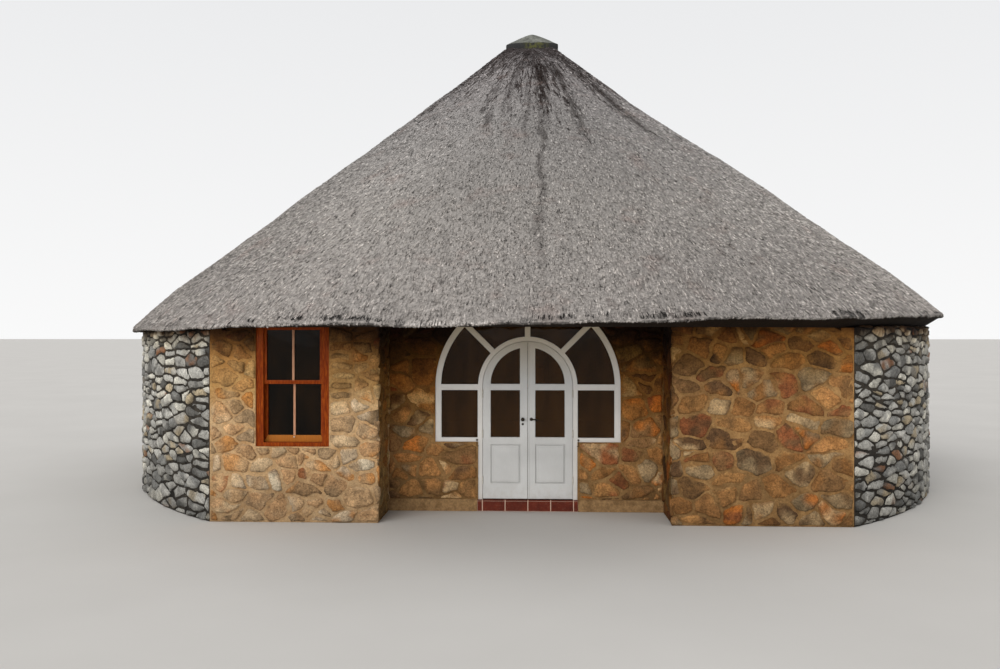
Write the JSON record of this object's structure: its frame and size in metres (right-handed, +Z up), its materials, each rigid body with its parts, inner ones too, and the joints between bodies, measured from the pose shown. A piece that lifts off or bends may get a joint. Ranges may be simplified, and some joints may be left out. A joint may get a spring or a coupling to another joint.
{
  "type": "rondavel hut",
  "caption": "Round stone house with a conical thatched roof, a flat front, a recessed porch and an arched glazed double door.",
  "frame": {"origin": "on the ground under the ridge cap, which is the centre of the round plan", "axes": "+Z up, -Y out of the entrance, +X to the right of someone who faces the entrance"},
  "size_m": [12.9998, 12.9998, 7.5689],
  "materials": {
    "floor": "matte screed",
    "tiles": "satin quarry tiles",
    "grey_stone": "rough rubble, dark joints",
    "ochre_stone": "rough rubble in tan mortar",
    "plaster": "smooth cement plaster",
    "white_timber": "white paint",
    "varnished_timber": "orange-red varnish",
    "pane": "clear",
    "dark_metal": "dark bronze",
    "hinge_steel": "painted over",
    "white_pull": "gloss",
    "poles": "bare gum poles",
    "thatch": "weathered grass",
    "cement": "weathered cement with moss"
  },
  "bodies": {
    "house": {"floor_slab": "floor", "entrance_step": "tiles", "wall_right_front": "grey_stone", "wall_right_window": "grey_stone", "wall_right_rear": "grey_stone", "wall_rear_window": "grey_stone", "wall_left_rear": "grey_stone", "wall_left_window": "grey_stone", "wall_left_front": "grey_stone", "front_wall_left": "ochre_stone", "front_wall_right": "ochre_stone", "porch_cheek_left": "ochre_stone", "porch_cheek_right": "ochre_stone", "porch_wall_left": "ochre_stone", "porch_wall_right": "ochre_stone", "porch_wall_arch": "ochre_stone", "plinth_strip": "plaster", "arch_frame": "white_timber", "arch_bars": "white_timber", "arch_glass": "pane", "door_frame": "white_timber", "hinge_frame_halves": "hinge_steel", "holdback_hooks": "dark_metal", "window_frames": "varnished_timber", "upper_sashes": "varnished_timber", "lower_sashes": "varnished_timber", "window_glass": "pane", "window_pulls": "white_pull", "rafters_long": "poles", "rafters_short": "poles", "king_boss": "poles", "laths": "poles", "thatch": "thatch", "ridge_cap": "cement"},
    "door_left": {"door_leaf_left": "white_timber", "door_glass_left": "pane", "door_knob": "dark_metal", "hinge_leaf_left": "hinge_steel"},
    "door_right": {"door_leaf_right": "white_timber", "door_glass_right": "pane", "door_lever": "dark_metal", "hinge_leaf_right": "hinge_steel"}
  },
  "joints": [
    {"name": "left_leaf", "type": "hinge", "parent": "house", "child": "door_left", "pos_m": [-0.5735, -4.2425, 1.2], "axis": [0, 0, -1], "range_deg": [0, 110]},
    {"name": "right_leaf", "type": "hinge", "parent": "house", "child": "door_right", "pos_m": [0.5735, -4.2425, 1.2], "axis": [0, 0, 1], "range_deg": [0, 110]}
  ]
}
